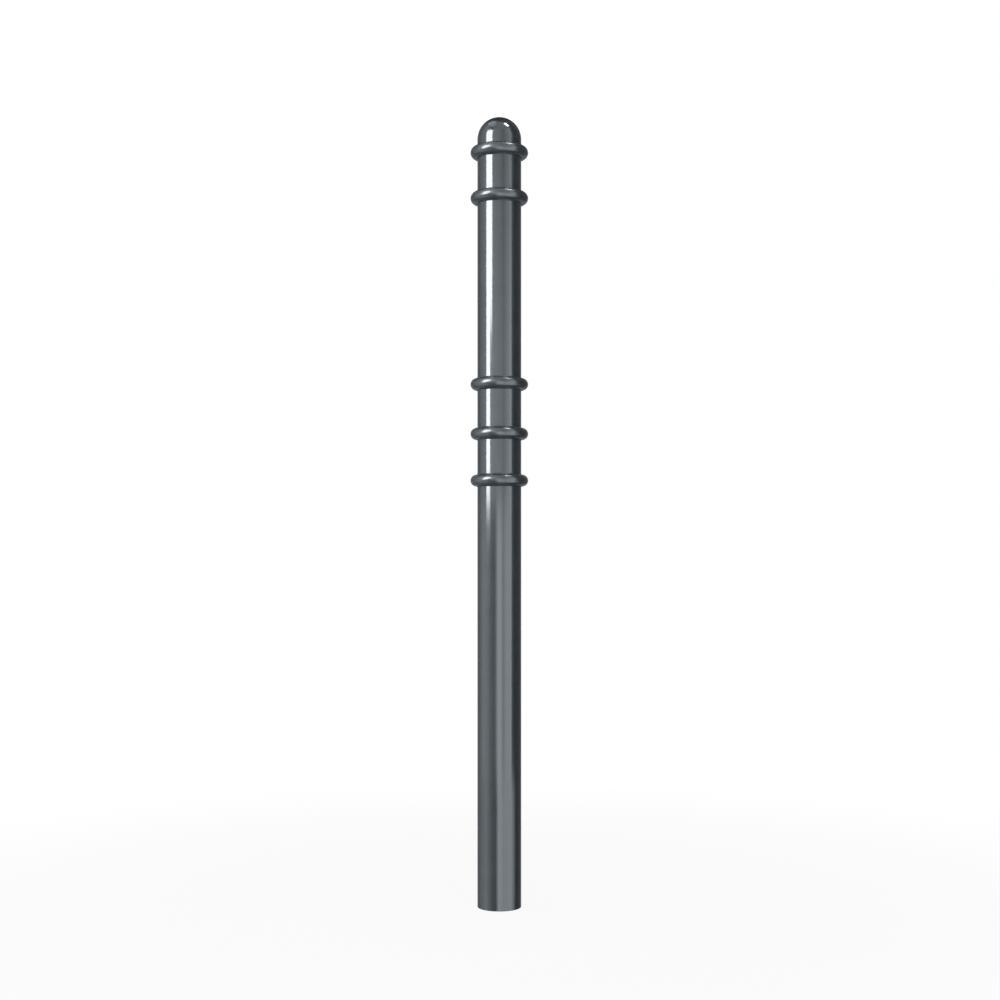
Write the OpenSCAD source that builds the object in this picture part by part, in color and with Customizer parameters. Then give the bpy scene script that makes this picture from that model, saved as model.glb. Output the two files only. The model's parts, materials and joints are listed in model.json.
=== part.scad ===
// Slim steel street bollard: a planted round tube with a welded domed cap
// and five D-section collars, two at the neck and three at the waist.
// Millimetres, +Z up, origin at the centre of the tube's cut foot.

/* [Post] */
// Overall height, from the cut foot to the crown of the dome
post_height = 1370; // [1250:5:1600]
// Outside diameter of the structural tube
tube_od = 76.1; // [60:0.1:95]
// Wall thickness of the tube
tube_wall = 2.9; // [2:0.1:5]
// Break on the outer edge of the cut foot
foot_chamfer = 0.8; // [0.3:0.1:1.5]

/* [Cap] */
// Wall thickness of the pressed cap
cap_wall = 4; // [3:0.1:6]
// Straight skirt of the cap that shows above the top collar
skirt_show = 13; // [4:1:30]

/* [Collars] */
// Height of a collar along the post, which its half-round nose fills
collar_height = 20; // [12:0.5:30]
// Thickness of the straight band behind the nose, from the tube's surface
collar_band = 2; // [1:0.1:4]
// Radial slip fit between a collar and the tube it is welded to
collar_fit = 0.1; // [0.05:0.05:0.3]
// Foot to the middle of the lowest waist collar
waist_level = 740; // [600:5:820]
// Lowest to middle waist collar, middle to middle
waist_low_pitch = 81; // [60:1:110]
// Middle to highest waist collar, middle to middle
waist_high_pitch = 86; // [60:1:110]
// Lower to upper neck collar, middle to middle
neck_pitch = 79; // [50:1:110]

/* [Welds] */
// Leg of the fillet weld along each edge of a collar
weld_leg = 1.2; // [0.6:0.1:2]

/* [Hidden] */
$fn = 128;
past = 1;                                 // how far a cutter runs past the face it opens
paint = [0.24, 0.26, 0.28];
tube_r = tube_od / 2;
bore_r = tube_r - tube_wall;
dome_r = tube_r;                          // the dome springs flush with the tube
spring_z = post_height - dome_r;          // where the skirt ends and the dome begins
neck_top_z = spring_z - skirt_show - collar_height / 2;
neck_low_z = neck_top_z - neck_pitch;
waist_mid_z = waist_level + waist_low_pitch;
waist_high_z = waist_mid_z + waist_high_pitch;
joint_z = neck_top_z;                     // the top collar hides the butt joint of tube and cap
collar_levels = [neck_top_z, neck_low_z, waist_high_z, waist_mid_z, waist_level];

// Round steel tube, cut square at the foot, with its outer edge broken
module post_tube() {
    color(paint)
    rotate_extrude()
    polygon([
        [bore_r, 0],
        [tube_r - foot_chamfer, 0],
        [tube_r, foot_chamfer],
        [tube_r, joint_z],
        [bore_r, joint_z],
    ]);
}

// Pressed cap: a hollow half ball on a short skirt that stands on the tube's end
module domed_cap() {
    color(paint)
    rotate_extrude()
    difference() {
        cap_half(dome_r, joint_z);
        cap_half(dome_r - cap_wall, joint_z - past);
    }
}

// Half outline of a skirt that starts at a given level and ends in a dome
module cap_half(r, from_z) {
    translate([0, from_z])
    square([r, spring_z - from_z]);
    translate([0, spring_z])
    intersection() {
        circle(r = r);
        square(r);
    }
}

// D-section collar: a thin straight band that carries a half-round nose
module collar(level) {
    nose_r = collar_height / 2;
    band_r = tube_r + collar_band;
    color(paint)
    translate([0, 0, level])
    rotate_extrude() {
        translate([tube_r + collar_fit, -nose_r])
        square([collar_band - collar_fit, collar_height]);
        intersection() {
            translate([band_r, 0]) circle(r = nose_r);
            translate([band_r, -nose_r]) square([nose_r, collar_height]);
        }
    }
}

// Fillet welds along both edges of every collar, which close the slip fit
module collar_welds() {
    color(paint)
    for (level = collar_levels, side = [-1, 1])
        translate([0, 0, level + side * collar_height / 2])
        mirror([0, 0, side < 0 ? 1 : 0])
        weld();
}

// One mitre fillet weld, with a flat face, standing on the plane z = 0
module weld() {
    leg = min(weld_leg, collar_band);
    rotate_extrude()
    polygon([
        [tube_r, 0],
        [tube_r + leg, 0],
        [tube_r, leg],
    ]);
}

post_tube();
domed_cap();
collar(neck_top_z);  // neck_collar_top
collar(neck_low_z);  // neck_collar_low
collar(waist_high_z);  // waist_collar_high
collar(waist_mid_z);  // waist_collar_mid
collar(waist_level);  // waist_collar_low
collar_welds();
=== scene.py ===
import bmesh
import bpy
import json
import math
from mathutils import Matrix
from mathutils import Vector


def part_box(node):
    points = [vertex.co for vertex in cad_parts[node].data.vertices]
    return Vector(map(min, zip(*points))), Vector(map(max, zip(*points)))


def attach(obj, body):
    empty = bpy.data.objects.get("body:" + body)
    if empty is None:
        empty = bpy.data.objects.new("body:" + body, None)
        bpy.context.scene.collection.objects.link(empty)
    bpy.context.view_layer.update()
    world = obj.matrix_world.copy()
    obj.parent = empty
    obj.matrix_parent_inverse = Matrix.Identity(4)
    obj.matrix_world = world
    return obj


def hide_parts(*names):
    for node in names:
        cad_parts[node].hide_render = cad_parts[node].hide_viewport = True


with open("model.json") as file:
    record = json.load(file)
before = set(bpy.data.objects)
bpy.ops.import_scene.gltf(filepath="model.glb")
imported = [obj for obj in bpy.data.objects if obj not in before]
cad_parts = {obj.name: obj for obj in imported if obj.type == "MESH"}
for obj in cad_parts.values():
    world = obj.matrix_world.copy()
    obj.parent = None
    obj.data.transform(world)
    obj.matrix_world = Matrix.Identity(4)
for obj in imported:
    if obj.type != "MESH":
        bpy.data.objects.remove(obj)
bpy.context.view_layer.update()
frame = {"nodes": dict(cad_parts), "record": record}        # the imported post, all of it on the one body "root"
print("frame loaded:", len(frame["nodes"]), "nodes")

mm = 0.001
onePoint = 0.001 * mm    # corners this near each other are one
sameLevel = 0.01 * mm    # and these lie on the same level or radius
fullTurn = 2 * math.pi
upright = Vector((0, 0, 1))
studio = bpy.context.scene.collection


def paintHex(code):      # "#rrggbb" as written on a colour card, to the linear values that shaders want
    shares = [int(code[i:i + 2], 16) / 255 for i in (1, 3, 5)]
    linear = [s / 12.92 if s <= 0.04045 else ((s + 0.055) / 1.055) ** 2.4 for s in shares]
    return (*linear, 1.0)


def addNode(tree, kind, settings=None, links=None):      # settings go to sockets first, then to properties
    node = tree.nodes.new(kind)
    for key, value in (settings or {}).items():
        if isinstance(key, int) or key in node.inputs:
            node.inputs[key].default_value = value
        else:
            setattr(node, key, value)
    for key, source in (links or {}).items():
        tree.links.new(source, node.inputs[key])
    return node


def newMaterial(name):
    material = bpy.data.materials.new(name)
    material.use_nodes = True
    material.node_tree.nodes.clear()
    return material


def fadeRamp(tree, source, stops):       # a colour ramp: {place: "#rrggbb"}
    ramp = addNode(tree, "ShaderNodeValToRGB", links={"Fac": source})
    points = ramp.color_ramp.elements
    while len(points) < len(stops):
        points.new(0.5)
    for point, place in zip(points, sorted(stops)):
        point.position = place
        point.color = paintHex(stops[place])
    return ramp.outputs["Color"]


powderCoat = {
    "film": {0.30: "#363c40", 0.70: "#3c4246"},      # anthracite, a shade either way with the film
    "ior": 1.50,             # polyester powder
    "cloudWidth": 35 * mm,
    "cloudSpan": (0.3, 0.7),     # the stretch of the noise that it mostly fills
    "peelWidth": 2.6 * mm,   # orange peel that the powder leaves as it flows out
    "peelDepth": 0.003 * mm,
}

# The steel under the coat: how wide, long and deep its waves are, and the range of roughness that the
# powder cures to over it.
drawnTube = {"lineWidth": 5 * mm, "lineLength": 400 * mm, "lineDepth": 0.003 * mm, "gloss": (0.10, 0.13)}
pressedCap = {"lineWidth": 14 * mm, "lineLength": 14 * mm, "lineDepth": 0.006 * mm, "gloss": (0.10, 0.13)}
rolledBar = {"lineWidth": 9 * mm, "lineLength": 9 * mm, "lineDepth": 0.006 * mm, "gloss": (0.20, 0.24)}
# The weld beads carry painted shade: their film is darker than the rest of the coat, for the shade in the
# corners where the collars meet the tube.
weldBeadWithPaintedShade = {"lineWidth": 1.6 * mm, "lineLength": 1.6 * mm, "lineDepth": 0.03 * mm, "gloss": (0.40, 0.50),
            "film": {0.30: "#181b1d", 0.70: "#1f2326"}}      # painted shade: darker and duller than the coat elsewhere, standing in for the shade deep in the corner at each collar


# Gloss powder coat on steel: deep dark grey, sharp bright reflections that only just wobble.
def glossPowderCoat(name, under):
    material = newMaterial(name)
    tree = material.node_tree
    place = addNode(tree, "ShaderNodeTexCoord").outputs["Object"]
    clouds = addNode(tree, "ShaderNodeTexNoise",
                     {"Scale": 1 / powderCoat["cloudWidth"], "Detail": 2.0, "Roughness": 0.5},
                     {"Vector": place})
    gloss = addNode(tree, "ShaderNodeMapRange",
                    {"From Min": powderCoat["cloudSpan"][0], "From Max": powderCoat["cloudSpan"][1],
                     "To Min": under["gloss"][0], "To Max": under["gloss"][1]},
                    {"Value": clouds.outputs["Fac"]})
    stretch = under["lineWidth"] / under["lineLength"]
    along = addNode(tree, "ShaderNodeMapping", {"Scale": (1.0, 1.0, stretch)}, {"Vector": place})
    lines = addNode(tree, "ShaderNodeTexNoise",
                    {"Scale": 1 / under["lineWidth"], "Detail": 1.0, "Roughness": 0.4},
                    {"Vector": along.outputs["Vector"]})
    steel = addNode(tree, "ShaderNodeBump", {"Strength": 1.0, "Distance": under["lineDepth"]},
                    {"Height": lines.outputs["Fac"]})
    peel = addNode(tree, "ShaderNodeTexNoise",
                   {"Scale": 1 / powderCoat["peelWidth"], "Detail": 1.0, "Roughness": 0.4},
                   {"Vector": place})
    film = addNode(tree, "ShaderNodeBump", {"Strength": 1.0, "Distance": powderCoat["peelDepth"]},
                   {"Height": peel.outputs["Fac"], "Normal": steel.outputs["Normal"]})
    colour = fadeRamp(tree, clouds.outputs["Fac"], under.get("film", powderCoat["film"]))
    coat = addNode(tree, "ShaderNodeBsdfPrincipled", {"IOR": powderCoat["ior"]},
                   {"Base Color": colour,
                    "Roughness": gloss.outputs["Result"],
                    "Normal": film.outputs["Normal"]})
    addNode(tree, "ShaderNodeOutputMaterial", links={"Surface": coat.outputs["BSDF"]})
    return material


zincCoat = {
    "spangle": {0.0: "#8b9093", 1.0: "#a7abad"},
    "spangleWidth": 9 * mm,
    "roughness": (0.38, 0.55),
    "powder": "#3a4044",
    "overspray": 14 * mm,        # how far up the bore the powder drifts
    "oversprayEdge": 8 * mm,
}


# Hot-dip zinc in the bore: dull spangled metal, with powder that drifted a little way up from the foot.
def dippedZinc(name):
    material = newMaterial(name)
    tree = material.node_tree
    place = addNode(tree, "ShaderNodeTexCoord").outputs["Object"]
    grains = addNode(tree, "ShaderNodeTexVoronoi", {"Scale": 1 / zincCoat["spangleWidth"]},
                     {"Vector": place})
    shade = addNode(tree, "ShaderNodeSeparateColor", links={"Color": grains.outputs["Color"]})
    height = addNode(tree, "ShaderNodeSeparateXYZ", links={"Vector": place})
    drift = addNode(tree, "ShaderNodeTexNoise", {"Scale": 1 / zincCoat["oversprayEdge"], "Detail": 3.0},
                    {"Vector": place})
    ragged = addNode(tree, "ShaderNodeMath",
                     {"operation": "MULTIPLY_ADD", 1: -zincCoat["oversprayEdge"]},
                     {0: drift.outputs["Fac"], 2: height.outputs["Z"]})
    bare = addNode(tree, "ShaderNodeMapRange",
                   {"From Min": zincCoat["overspray"] - zincCoat["oversprayEdge"],
                    "From Max": zincCoat["overspray"]},
                   {"Value": ragged.outputs["Value"]})
    dull = addNode(tree, "ShaderNodeMapRange",
                   {"To Min": zincCoat["roughness"][0], "To Max": zincCoat["roughness"][1]},
                   {"Value": shade.outputs["Red"]})
    colour = addNode(tree, "ShaderNodeMix", {"data_type": "RGBA", 6: paintHex(zincCoat["powder"])},
                     {0: bare.outputs["Result"],
                      7: fadeRamp(tree, shade.outputs["Red"], zincCoat["spangle"])})
    zinc = addNode(tree, "ShaderNodeBsdfPrincipled",
                   links={"Base Color": colour.outputs[2],
                          "Metallic": bare.outputs["Result"],
                          "Roughness": dull.outputs["Result"]})
    addNode(tree, "ShaderNodeOutputMaterial", links={"Surface": zinc.outputs["BSDF"]})
    return material


tubePaint = glossPowderCoat("powderCoatOnDrawnTube", drawnTube)
capPaint = glossPowderCoat("powderCoatOnPressedCap", pressedCap)
collarPaint = glossPowderCoat("powderCoatOnRolledBar", rolledBar)
# the welds' material is the coat darkened as painted shade for the corners at the collars
weldPaintWithPaintedShade = glossPowderCoat("powderCoatOnWeldBeadPaintedShade", weldBeadWithPaintedShade)
boreZinc = dippedZinc("dippedZincInTheBore")
print("finishes made: gloss powder coat on tube, cap, collars and welds, zinc in the bore")


def outlinePoint(mesh, radius, height):
    return mesh.verts.new((radius, 0, height))


def drawLine(mesh, *points):
    return [mesh.edges.new(pair) for pair in zip(points, points[1:])]


# Swings a point round a centre in the outline's plane, and gives back the last point.
def drawArc(mesh, start, centre, degrees, steps):
    swing = bmesh.ops.spin(mesh, geom=[start], cent=centre, axis=(0, 1, 0), dvec=(0, 0, 0),
                           angle=math.radians(degrees), steps=steps, use_merge=False)
    return [g for g in swing["geom_last"] if isinstance(g, bmesh.types.BMVert)][0]


# One full turn about the post's axis, closed along its seam and at its pole.
def turnOutline(mesh, steps):
    bmesh.ops.spin(mesh, geom=mesh.verts[:] + mesh.edges[:], cent=(0, 0, 0), axis=upright, dvec=(0, 0, 0),
                   angle=fullTurn, steps=steps, use_merge=True)
    bmesh.ops.remove_doubles(mesh, verts=mesh.verts[:], dist=onePoint)
    bmesh.ops.recalc_face_normals(mesh, faces=mesh.faces[:])


def finishPiece(name, mesh, materials, sharpAngle=35):
    for face in mesh.faces:
        face.smooth = True
    for edge in mesh.edges:
        if edge.is_manifold and edge.calc_face_angle() > math.radians(sharpAngle):
            edge.smooth = False
    data = bpy.data.meshes.new(name)
    mesh.to_mesh(data)
    mesh.free()
    for material in materials:
        data.materials.append(material)
    piece = bpy.data.objects.new(name, data)
    studio.objects.link(piece)
    return piece


def radiusOf(point):
    return math.hypot(point.x, point.y)


tubeLow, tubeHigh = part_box("post_tube")
boreMount = [m for m in frame["record"]["mounts"] if m["name"] == "tube_bore"][0]
tube = {
    "radius": tubeHigh.x,
    "bore": boreMount["dims"]["r_mm"] * mm,
    "footBreak": 0.8 * mm,       # rounded outer edge of the cut foot
    "boreBreak": 0.3 * mm,
    "breakSteps": 4,
    "sides": 256,
    "rings": 26,
    "seamWidth": 3.2 * mm,       # the rolled tube's own weld, left standing inside
    "seamHeight": 0.6 * mm,
    "seamAt": math.radians(110),
}


def breakFootEdge(mesh, radius, size):       # rounds one edge of the foot, the outer one or the bore's
    rim = [e for e in mesh.edges
           if all(abs(v.co.z - tubeLow.z) < sameLevel and abs(radiusOf(v.co) - radius) < sameLevel
                  for v in e.verts)]
    bmesh.ops.bevel(mesh, geom=rim, offset=size, offset_type="OFFSET", segments=tube["breakSteps"],
                    profile=0.5, affect="EDGES", material=-1, clamp_overlap=True)


def raiseBoreSeam(mesh):         # the bead stands inwards from the bore, over its own width
    for point in mesh.verts:
        radius = radiusOf(point.co)
        if radius > tube["bore"] + sameLevel:
            continue
        offAngle = math.remainder(math.atan2(point.co.y, point.co.x) - tube["seamAt"], fullTurn)
        across = abs(offAngle) * radius / (tube["seamWidth"] / 2)
        if across < 1:
            drop = tube["seamHeight"] * math.cos(across * math.pi / 2) ** 2
            point.co.xy *= (radius - drop) / radius


def buildTube():
    mesh = bmesh.new()
    boreFoot = outlinePoint(mesh, tube["bore"], tubeLow.z)
    outerFoot = outlinePoint(mesh, tube["radius"], tubeLow.z)
    outerTop = outlinePoint(mesh, tube["radius"], tubeHigh.z)
    boreTop = outlinePoint(mesh, tube["bore"], tubeHigh.z)
    walls = drawLine(mesh, boreFoot, outerFoot, outerTop, boreTop, boreFoot)
    bmesh.ops.subdivide_edges(mesh, edges=[walls[1], walls[3]], cuts=tube["rings"])
    turnOutline(mesh, tube["sides"])
    breakFootEdge(mesh, tube["radius"], tube["footBreak"])
    breakFootEdge(mesh, tube["bore"], tube["boreBreak"])
    raiseBoreSeam(mesh)
    halfWall = (tube["bore"] + tube["radius"]) / 2
    for face in mesh.faces:
        if radiusOf(face.calc_center_median()) < halfWall and abs(face.normal.z) < 0.5:
            face.material_index = 1
    return finishPiece("postTube", mesh, [tubePaint, boreZinc])


postTube = buildTube()
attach(postTube, "root")
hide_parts("post_tube")
print("tube turned, foot edges broken, bore seam raised")


capLow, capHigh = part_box("domed_cap")
cap = {
    "radius": tube["radius"],
    "wall": 4 * mm,
    "arcSteps": 56,
    "sides": 192,
}


def buildCap():
    mesh = bmesh.new()
    springHeight = capHigh.z - cap["radius"]
    innerRadius = cap["radius"] - cap["wall"]
    centre = (0, 0, springHeight)
    skirtIn = outlinePoint(mesh, innerRadius, capLow.z)
    skirtOut = outlinePoint(mesh, cap["radius"], capLow.z)
    springIn = outlinePoint(mesh, innerRadius, springHeight)
    springOut = outlinePoint(mesh, cap["radius"], springHeight)
    drawLine(mesh, springIn, skirtIn, skirtOut, springOut)
    for spring, radius in ((springIn, innerRadius), (springOut, cap["radius"])):
        pole = drawArc(mesh, spring, centre, -90, cap["arcSteps"])
        pole.co = (0, 0, springHeight + radius)      # set on the axis, so the turn closes at the crown
    turnOutline(mesh, cap["sides"])
    return finishPiece("domedCap", mesh, [capPaint])


domedCap = buildCap()
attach(domedCap, "root")
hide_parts("domed_cap")
print("domed cap turned")


collar = {
    "fit": 0.1 * mm,         # slip fit on the tube
    "noseSteps": 36,
    "sides": 192,
}
collarNodes = {
    "neckCollarTop": "neck_collar_top",
    "neckCollarLow": "neck_collar_low",
    "waistCollarHigh": "waist_collar_high",
    "waistCollarMid": "waist_collar_mid",
    "waistCollarLow": "waist_collar_low",
}


def buildCollar(name, low, high):
    mesh = bmesh.new()
    noseRadius = (high.z - low.z) / 2
    bandRadius = high.x - noseRadius
    innerRadius = tube["radius"] + collar["fit"]
    innerTop = outlinePoint(mesh, innerRadius, high.z)
    innerFoot = outlinePoint(mesh, innerRadius, low.z)
    bandFoot = outlinePoint(mesh, bandRadius, low.z)
    bandTop = outlinePoint(mesh, bandRadius, high.z)
    drawLine(mesh, bandTop, innerTop, innerFoot, bandFoot)
    middle = (bandRadius, 0, (high.z + low.z) / 2)
    drawArc(mesh, bandFoot, middle, -180, collar["noseSteps"])
    turnOutline(mesh, collar["sides"])
    return finishPiece(name, mesh, [collarPaint], sharpAngle=50)


for collarName, collarNode in collarNodes.items():
    ring = buildCollar(collarName, *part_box(collarNode))
    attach(ring, "root")
    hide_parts(collarNode)
print("collars turned:", len(collarNodes))


weld = {
    "leg": 1.2 * mm,
    "faceCuts": 3,
    "crown": 0.12 * mm,      # how far the bead's face stands out
    "ripple": 0.10 * mm,
    "ripples": 120,          # one each 2 mm round the tube
    "stepsPerRipple": 6,
}


def layWeld(mesh, level, side):          # one bead: side is 1 on top of a collar and -1 under it
    bead = bmesh.new()
    root = outlinePoint(bead, tube["radius"], level)
    onCollar = outlinePoint(bead, tube["radius"] + weld["leg"], level)
    onTube = outlinePoint(bead, tube["radius"], level + side * weld["leg"])
    sides = drawLine(bead, root, onCollar, onTube, root)
    bmesh.ops.subdivide_edges(bead, edges=[sides[1]], cuts=weld["faceCuts"])
    turnOutline(bead, weld["ripples"] * weld["stepsPerRipple"])
    for point in bead.verts:
        outwards = (radiusOf(point.co) - tube["radius"]) / weld["leg"]
        offCollar = abs(point.co.z - level) > sameLevel
        share = 4 * outwards * (1 - outwards) if offCollar else 0        # a bow, nothing at the face's edges
        angle = math.atan2(point.co.y, point.co.x)
        scallop = abs(math.sin(angle * weld["ripples"] / 2)) - 1
        swell = share * (weld["crown"] + weld["ripple"] * scallop)
        radial = Vector((math.cos(angle), math.sin(angle), side)) * (swell / math.sqrt(2))
        point.co += radial
    piece = bpy.data.meshes.new("bead")
    bead.to_mesh(piece)
    bead.free()
    mesh.from_mesh(piece)
    bpy.data.meshes.remove(piece)


def buildWelds():
    mesh = bmesh.new()
    for collarNode in collarNodes.values():
        low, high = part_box(collarNode)
        layWeld(mesh, high.z, 1)
        layWeld(mesh, low.z, -1)
    return finishPiece("collarWelds", mesh, [weldPaintWithPaintedShade], sharpAngle=60)


collarWelds = buildWelds()
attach(collarWelds, "root")
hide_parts("collar_welds")
print("weld beads laid")


floor = {
    "radius": 12.0,
    "sides": 128,
    "white": "#fafafa",
    "shadowReach": (0.5, 1.6),       # the shadow shows to the first and is gone by the second
    "shadowShare": 0.10,
}


# Pale studio sweep: white to the eye, with a soft trace of the post's shadow, and clear from underneath.
def sweepMaterial():
    material = newMaterial("paleSweep")
    tree = material.node_tree
    place = addNode(tree, "ShaderNodeTexCoord").outputs["Object"]
    path = addNode(tree, "ShaderNodeLightPath")
    away = addNode(tree, "ShaderNodeVectorMath", {"operation": "LENGTH"}, {0: place})
    near, far = floor["shadowReach"]
    trace = addNode(tree, "ShaderNodeMapRange",
                    {"interpolation_type": "SMOOTHSTEP", "From Min": near, "From Max": far,
                     "To Min": 1 - floor["shadowShare"], "To Max": 1.0},
                    {"Value": away.outputs["Value"]})
    seen = addNode(tree, "ShaderNodeMath", {"operation": "MULTIPLY"},
                   {0: trace.outputs["Result"], 1: path.outputs["Is Camera Ray"]})
    matt = addNode(tree, "ShaderNodeBsdfDiffuse", {"Color": paintHex(floor["white"])})
    glow = addNode(tree, "ShaderNodeEmission", {"Strength": 1.0})
    lit = addNode(tree, "ShaderNodeMixShader",
                  links={0: seen.outputs["Value"], 1: matt.outputs["BSDF"], 2: glow.outputs["Emission"]})
    back = addNode(tree, "ShaderNodeNewGeometry").outputs["Backfacing"]
    clear = addNode(tree, "ShaderNodeBsdfTransparent")
    whole = addNode(tree, "ShaderNodeMixShader",
                    links={0: back, 1: lit.outputs["Shader"], 2: clear.outputs["BSDF"]})
    addNode(tree, "ShaderNodeOutputMaterial", links={"Surface": whole.outputs["Shader"]})
    return material


def layFloor():
    mesh = bmesh.new()
    bmesh.ops.create_circle(mesh, cap_ends=True, segments=floor["sides"], radius=floor["radius"])
    for face in mesh.faces:
        if face.normal.z < 0:
            face.normal_flip()
    piece = finishPiece("studioFloor", mesh, [sweepMaterial()])
    piece.visible_glossy = False         # reflections below the horizon show the low panels instead


layFloor()
print("floor laid")

# Softboxes, pale walls and black flags round the post, as curved panels that only its gloss sees. Azimuths
# run from the camera's side round to the right, elevations from the horizon up, both in degrees. Each panel
# has its white at the first and at the last azimuth, and the share of it that is left at the top; 1 is white.
tent = {
    "radius": 3.0,
    "centre": 0.70,
    "stepAngle": 3,
    "topFade": (12, 26),         # elevations between which a panel fades to its top share
    "lowFade": (-38, -72),       # and between which every panel fades to the low share
    "lowShare": 0.15,
    "cloth": "#f2f9ff",
    "panels": {
        "tallSoftbox": ((-71, -49.5), (1.9, 43), (25.5, 25.5), 1.0),
        "tallSoftboxWing": ((-49.5, -37.5), (14.2, 46), (25.5, 25.5), 1.0),
        "tallSoftboxTop": ((-71, -49.5), (43, 49), (5.0, 16.0), 1.0),
        "leftWall": ((-125, -71), (1.9, 62), (0.5, 2.9), 0.85),
        "frontLeftWall": ((-49.5, -37.5), (1.9, 14.2), (4.4, 3.7), 1.0),
        "frontWall": ((-37.5, 8), (1.9, 52), (3.7, 2.8), 0.78),
        "frontGap": ((8, 25), (1.9, 52), (3.0, 2.2), 0.62),
        "frontRightWall": ((25, 67), (1.9, 52), (2.5, 5.1), 0.72),
        "rightSpill": ((67, 84), (-17, 62), (1.0, 0.1), 1.0),
        "ceiling": ((-40, 84), (52, 84), (1.8, 1.8), 1.0),
        "leftCeiling": ((-125, -40), (62, 80), (3.0, 3.0), 1.0),
        "lowLeftWall": ((-122, -88), (-17, 1.9), (0.6, 2.6), 1.0),
        "lowLeftSoftbox": ((-88, -60), (-17, 1.9), (2.7, 2.5), 1.0),
        "lowLeftFade": ((-60, -42), (-17, 1.9), (2.3, 1.2), 1.0),
        "lowLeftGap": ((-42, -22), (-17, 1.9), (1.3, 1.0), 1.0),
        "lowFrontRise": ((-22, -5), (-17, 1.9), (1.3, 5.9), 1.0),
        "lowFrontSoftbox": ((-5, 8), (-17, 1.9), (5.7, 5.4), 1.0),
        "lowFrontFade": ((8, 22), (-17, 1.9), (5.2, 2.9), 1.0),
        "lowRightRise": ((22, 34), (-17, 1.9), (3.0, 4.7), 1.0),
        "lowRightSoftbox": ((34, 67), (-17, 1.9), (4.7, 4.6), 1.0),
        "footLeftWall": ((-122, -72), (-80, -17), (0.6, 2.6), 1.0),
        "footLeftFade": ((-72, -36), (-80, -17), (2.5, 0.8), 1.0),
        "footLeftGap": ((-36, -17), (-80, -17), (0.8, 0.6), 1.0),
        "footFrontRise": ((-17, -2), (-80, -17), (1.0, 5.6), 1.0),
        "footFrontSoftbox": ((-2, 22), (-80, -17), (5.4, 4.2), 1.0),
        "footRightSoftbox": ((22, 66), (-80, -17), (4.3, 4.4), 1.0),
        "footRightSpill": ((66, 94), (-80, -17), (4.2, 0.2), 1.0),
        "rightFlag": ((84, 150), (-17, 88), (0.05, 0.25), 1.0),
        "footRightFlag": ((94, 150), (-80, -17), (0.05, 0.25), 1.0),
        "leftFlag": ((-150, -125), (-80, 88), (0.35, 0.35), 1.0),
        "backWall": ((150, 210), (-80, 33), (0.4, 0.4), 1.0),
        "backFlag": ((150, 210), (33, 88), (0.02, 0.02), 1.0),
    },
}


def panelMaterial(name, azimuths, whites, topShare):
    material = newMaterial(name)
    tree = material.node_tree
    place = addNode(tree, "ShaderNodeTexCoord").outputs["Object"]
    part = addNode(tree, "ShaderNodeSeparateXYZ", links={"Vector": place})
    forwards = addNode(tree, "ShaderNodeMath", {"operation": "MULTIPLY", 1: -1.0},
                       {0: part.outputs["Y"]})
    azimuth = addNode(tree, "ShaderNodeMath", {"operation": "ARCTAN2"},
                      {0: part.outputs["X"], 1: forwards.outputs["Value"]})
    across = addNode(tree, "ShaderNodeMapRange",
                     {"From Min": math.radians(azimuths[0]), "From Max": math.radians(azimuths[1]),
                      "To Min": whites[0], "To Max": whites[1]},
                     {"Value": azimuth.outputs["Value"]})
    shares = []
    for limits, share in ((tent["topFade"], topShare), (tent["lowFade"], tent["lowShare"])):
        first, last = (tent["centre"] + tent["radius"] * math.sin(math.radians(e)) for e in limits)
        fade = addNode(tree, "ShaderNodeMapRange",
                       {"From Min": first, "From Max": last, "To Min": 1.0, "To Max": share},
                       {"Value": part.outputs["Z"]})
        shares.append(fade.outputs["Result"])
    heightShare = addNode(tree, "ShaderNodeMath", {"operation": "MULTIPLY"}, {0: shares[0], 1: shares[1]})
    white = addNode(tree, "ShaderNodeMath", {"operation": "MULTIPLY"},
                    {0: across.outputs["Result"], 1: heightShare.outputs["Value"]})
    glow = addNode(tree, "ShaderNodeEmission", {"Color": paintHex(tent["cloth"])},
                   {"Strength": white.outputs["Value"]})
    addNode(tree, "ShaderNodeOutputMaterial", links={"Surface": glow.outputs["Emission"]})
    return material


# Each panel is a patch of the tent's sphere: a point spun upwards, and that line spun round.
def hangPanel(name, azimuths, elevations, whites, topShare):
    mesh = bmesh.new()
    centre = Vector((0, 0, tent["centre"]))
    lowest, highest = (math.radians(e) for e in elevations)
    start = mesh.verts.new(centre + tent["radius"] * Vector((0, -math.cos(lowest), math.sin(lowest))))
    upSteps = math.ceil((elevations[1] - elevations[0]) / tent["stepAngle"])
    bmesh.ops.spin(mesh, geom=[start], cent=centre, axis=(-1, 0, 0), dvec=(0, 0, 0),
                   angle=highest - lowest, steps=upSteps, use_merge=False)
    first, last = (math.radians(a) for a in azimuths)
    bmesh.ops.rotate(mesh, verts=mesh.verts[:], cent=(0, 0, 0), matrix=Matrix.Rotation(first, 3, "Z"))
    roundSteps = math.ceil((azimuths[1] - azimuths[0]) / tent["stepAngle"])
    bmesh.ops.spin(mesh, geom=mesh.verts[:] + mesh.edges[:], cent=(0, 0, 0), axis=upright, dvec=(0, 0, 0),
                   angle=last - first, steps=roundSteps, use_merge=False)
    cloth = panelMaterial(name + "Cloth", azimuths, whites, topShare)
    piece = finishPiece(name, mesh, [cloth])
    piece.visible_camera = False
    piece.visible_diffuse = False
    piece.visible_transmission = False
    piece.visible_volume_scatter = False
    piece.visible_shadow = False


for panelName, panelSettings in tent["panels"].items():
    hangPanel(panelName, *panelSettings)

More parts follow.
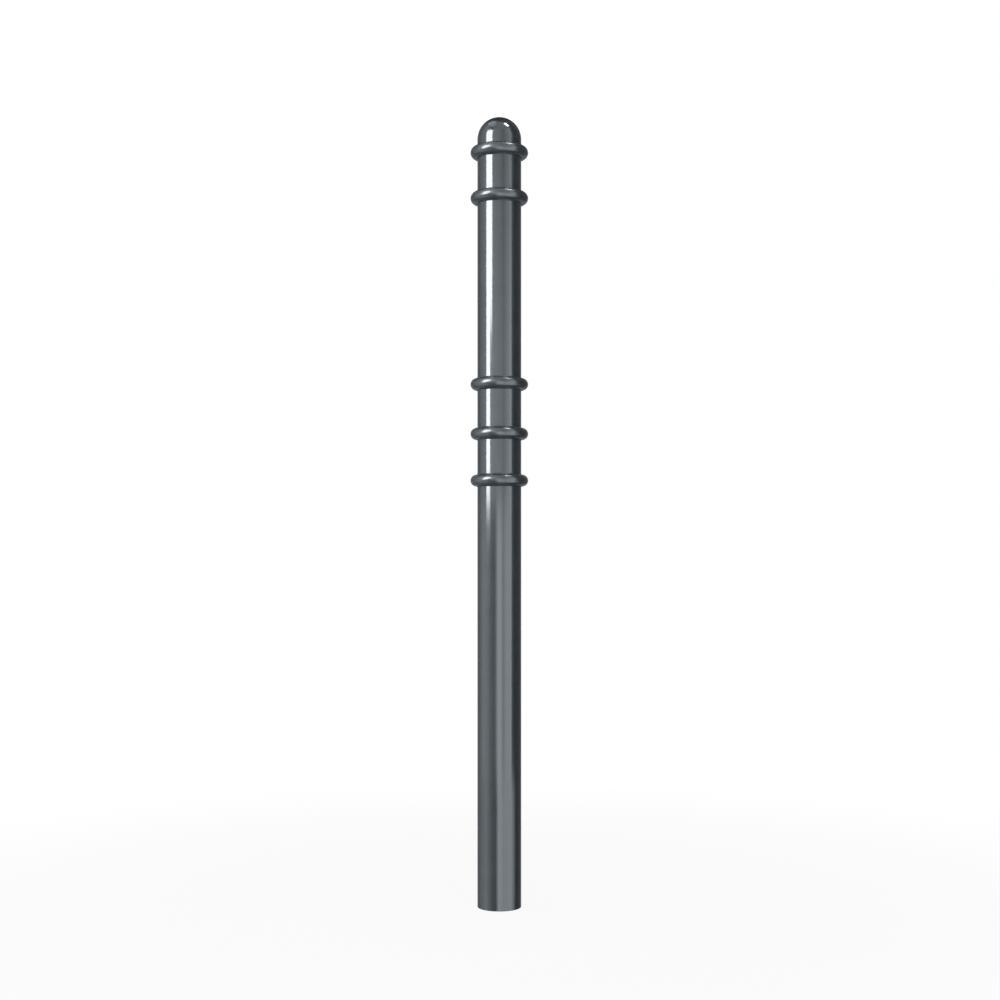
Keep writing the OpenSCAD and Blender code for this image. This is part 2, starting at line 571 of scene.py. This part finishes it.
# Plain soft light for the colour itself, which the gloss does not see, and one small lamp that only makes
# the glints. Width, height and distance are in metres.
lamps = {
    "keySoftbox": {"azimuth": -15, "elevation": 5, "distance": 2.4, "width": 1.3, "height": 1.4,
                   "white": 1.7, "aim": 0.45, "sees": "diffuse"},
    "fillSoftbox": {"azimuth": -75, "elevation": 5, "distance": 2.4, "width": 1.0, "height": 1.4,
                    "white": 1.3, "aim": 0.45, "sees": "diffuse"},
    "topSoftbox": {"azimuth": 20, "elevation": 64, "distance": 2.0, "width": 0.9, "height": 0.9,
                   "white": 3.0, "aim": 1.30, "sees": "diffuse"},
    "glintBox": {"azimuth": 72, "elevation": 63, "distance": 2.0, "width": 0.42, "height": 0.60,
                 "white": 27.0, "aim": 1.30, "sees": "gloss"},
}


def hangLamp(name, settings):
    azimuth, elevation = (math.radians(settings[k]) for k in ("azimuth", "elevation"))
    direction = Vector((math.sin(azimuth) * math.cos(elevation),
                        -math.cos(azimuth) * math.cos(elevation),
                        math.sin(elevation)))
    data = bpy.data.lights.new(name, "AREA")
    data.shape = "RECTANGLE"
    data.size = settings["width"]
    data.size_y = settings["height"]
    data.energy = settings["white"] * math.pi * settings["width"] * settings["height"]
    lamp = bpy.data.objects.new(name, data)
    lamp.location = Vector((0, 0, settings["aim"])) + direction * settings["distance"]
    lamp.rotation_euler = direction.to_track_quat("Z", "Y").to_euler()
    lamp.visible_glossy = settings["sees"] == "gloss"
    lamp.visible_diffuse = settings["sees"] == "diffuse"
    studio.objects.link(lamp)


for lampName, lampSettings in lamps.items():
    hangLamp(lampName, lampSettings)

backdrop = {"white": 1.0, "ambient": 0.45}


def hangBackdrop():      # white to the eye and in reflections, a plain level of light otherwise
    world = bpy.data.worlds.new("backdrop")
    world.use_nodes = True
    tree = world.node_tree
    tree.nodes.clear()
    path = addNode(tree, "ShaderNodeLightPath")
    either = addNode(tree, "ShaderNodeMath", {"operation": "MAXIMUM"},
                     {0: path.outputs["Is Camera Ray"], 1: path.outputs["Is Glossy Ray"]})
    seen = addNode(tree, "ShaderNodeMath", {"operation": "MAXIMUM"},
                   {0: either.outputs["Value"], 1: path.outputs["Is Transmission Ray"]})
    level = addNode(tree, "ShaderNodeMapRange",
                    {"To Min": backdrop["ambient"], "To Max": backdrop["white"]},
                    {"Value": seen.outputs["Value"]})
    sky = addNode(tree, "ShaderNodeBackground", {"Color": (1, 1, 1, 1)},
                  {"Strength": level.outputs["Result"]})
    addNode(tree, "ShaderNodeOutputWorld", links={"Surface": sky.outputs["Background"]})
    bpy.context.scene.world = world


hangBackdrop()
print("studio lit:", len(tent["panels"]), "panels and", len(lamps), "lamps")

camera = {
    "distance": 2.7,
    "side": 0.00115,     # stands a hair to the right of the post's axis
    "eye": 0.6046,       # height above the foot; it looks level
    "lens": 55.96,
    "sensor": 36.0,
    "shift": 0.0586,     # keeps the whole post in the frame with the camera level
}


def standCamera():
    data = bpy.data.cameras.new("studioCamera")
    data.lens = camera["lens"]
    data.sensor_width = camera["sensor"]
    data.shift_y = camera["shift"]
    stand = bpy.data.objects.new("studioCamera", data)
    stand.location = (camera["side"], -camera["distance"], camera["eye"])
    stand.rotation_euler = (math.radians(90), 0, 0)
    studio.objects.link(stand)
    bpy.context.scene.camera = stand


standCamera()
bpy.context.scene.view_settings.view_transform = "Standard"
print("camera stands")
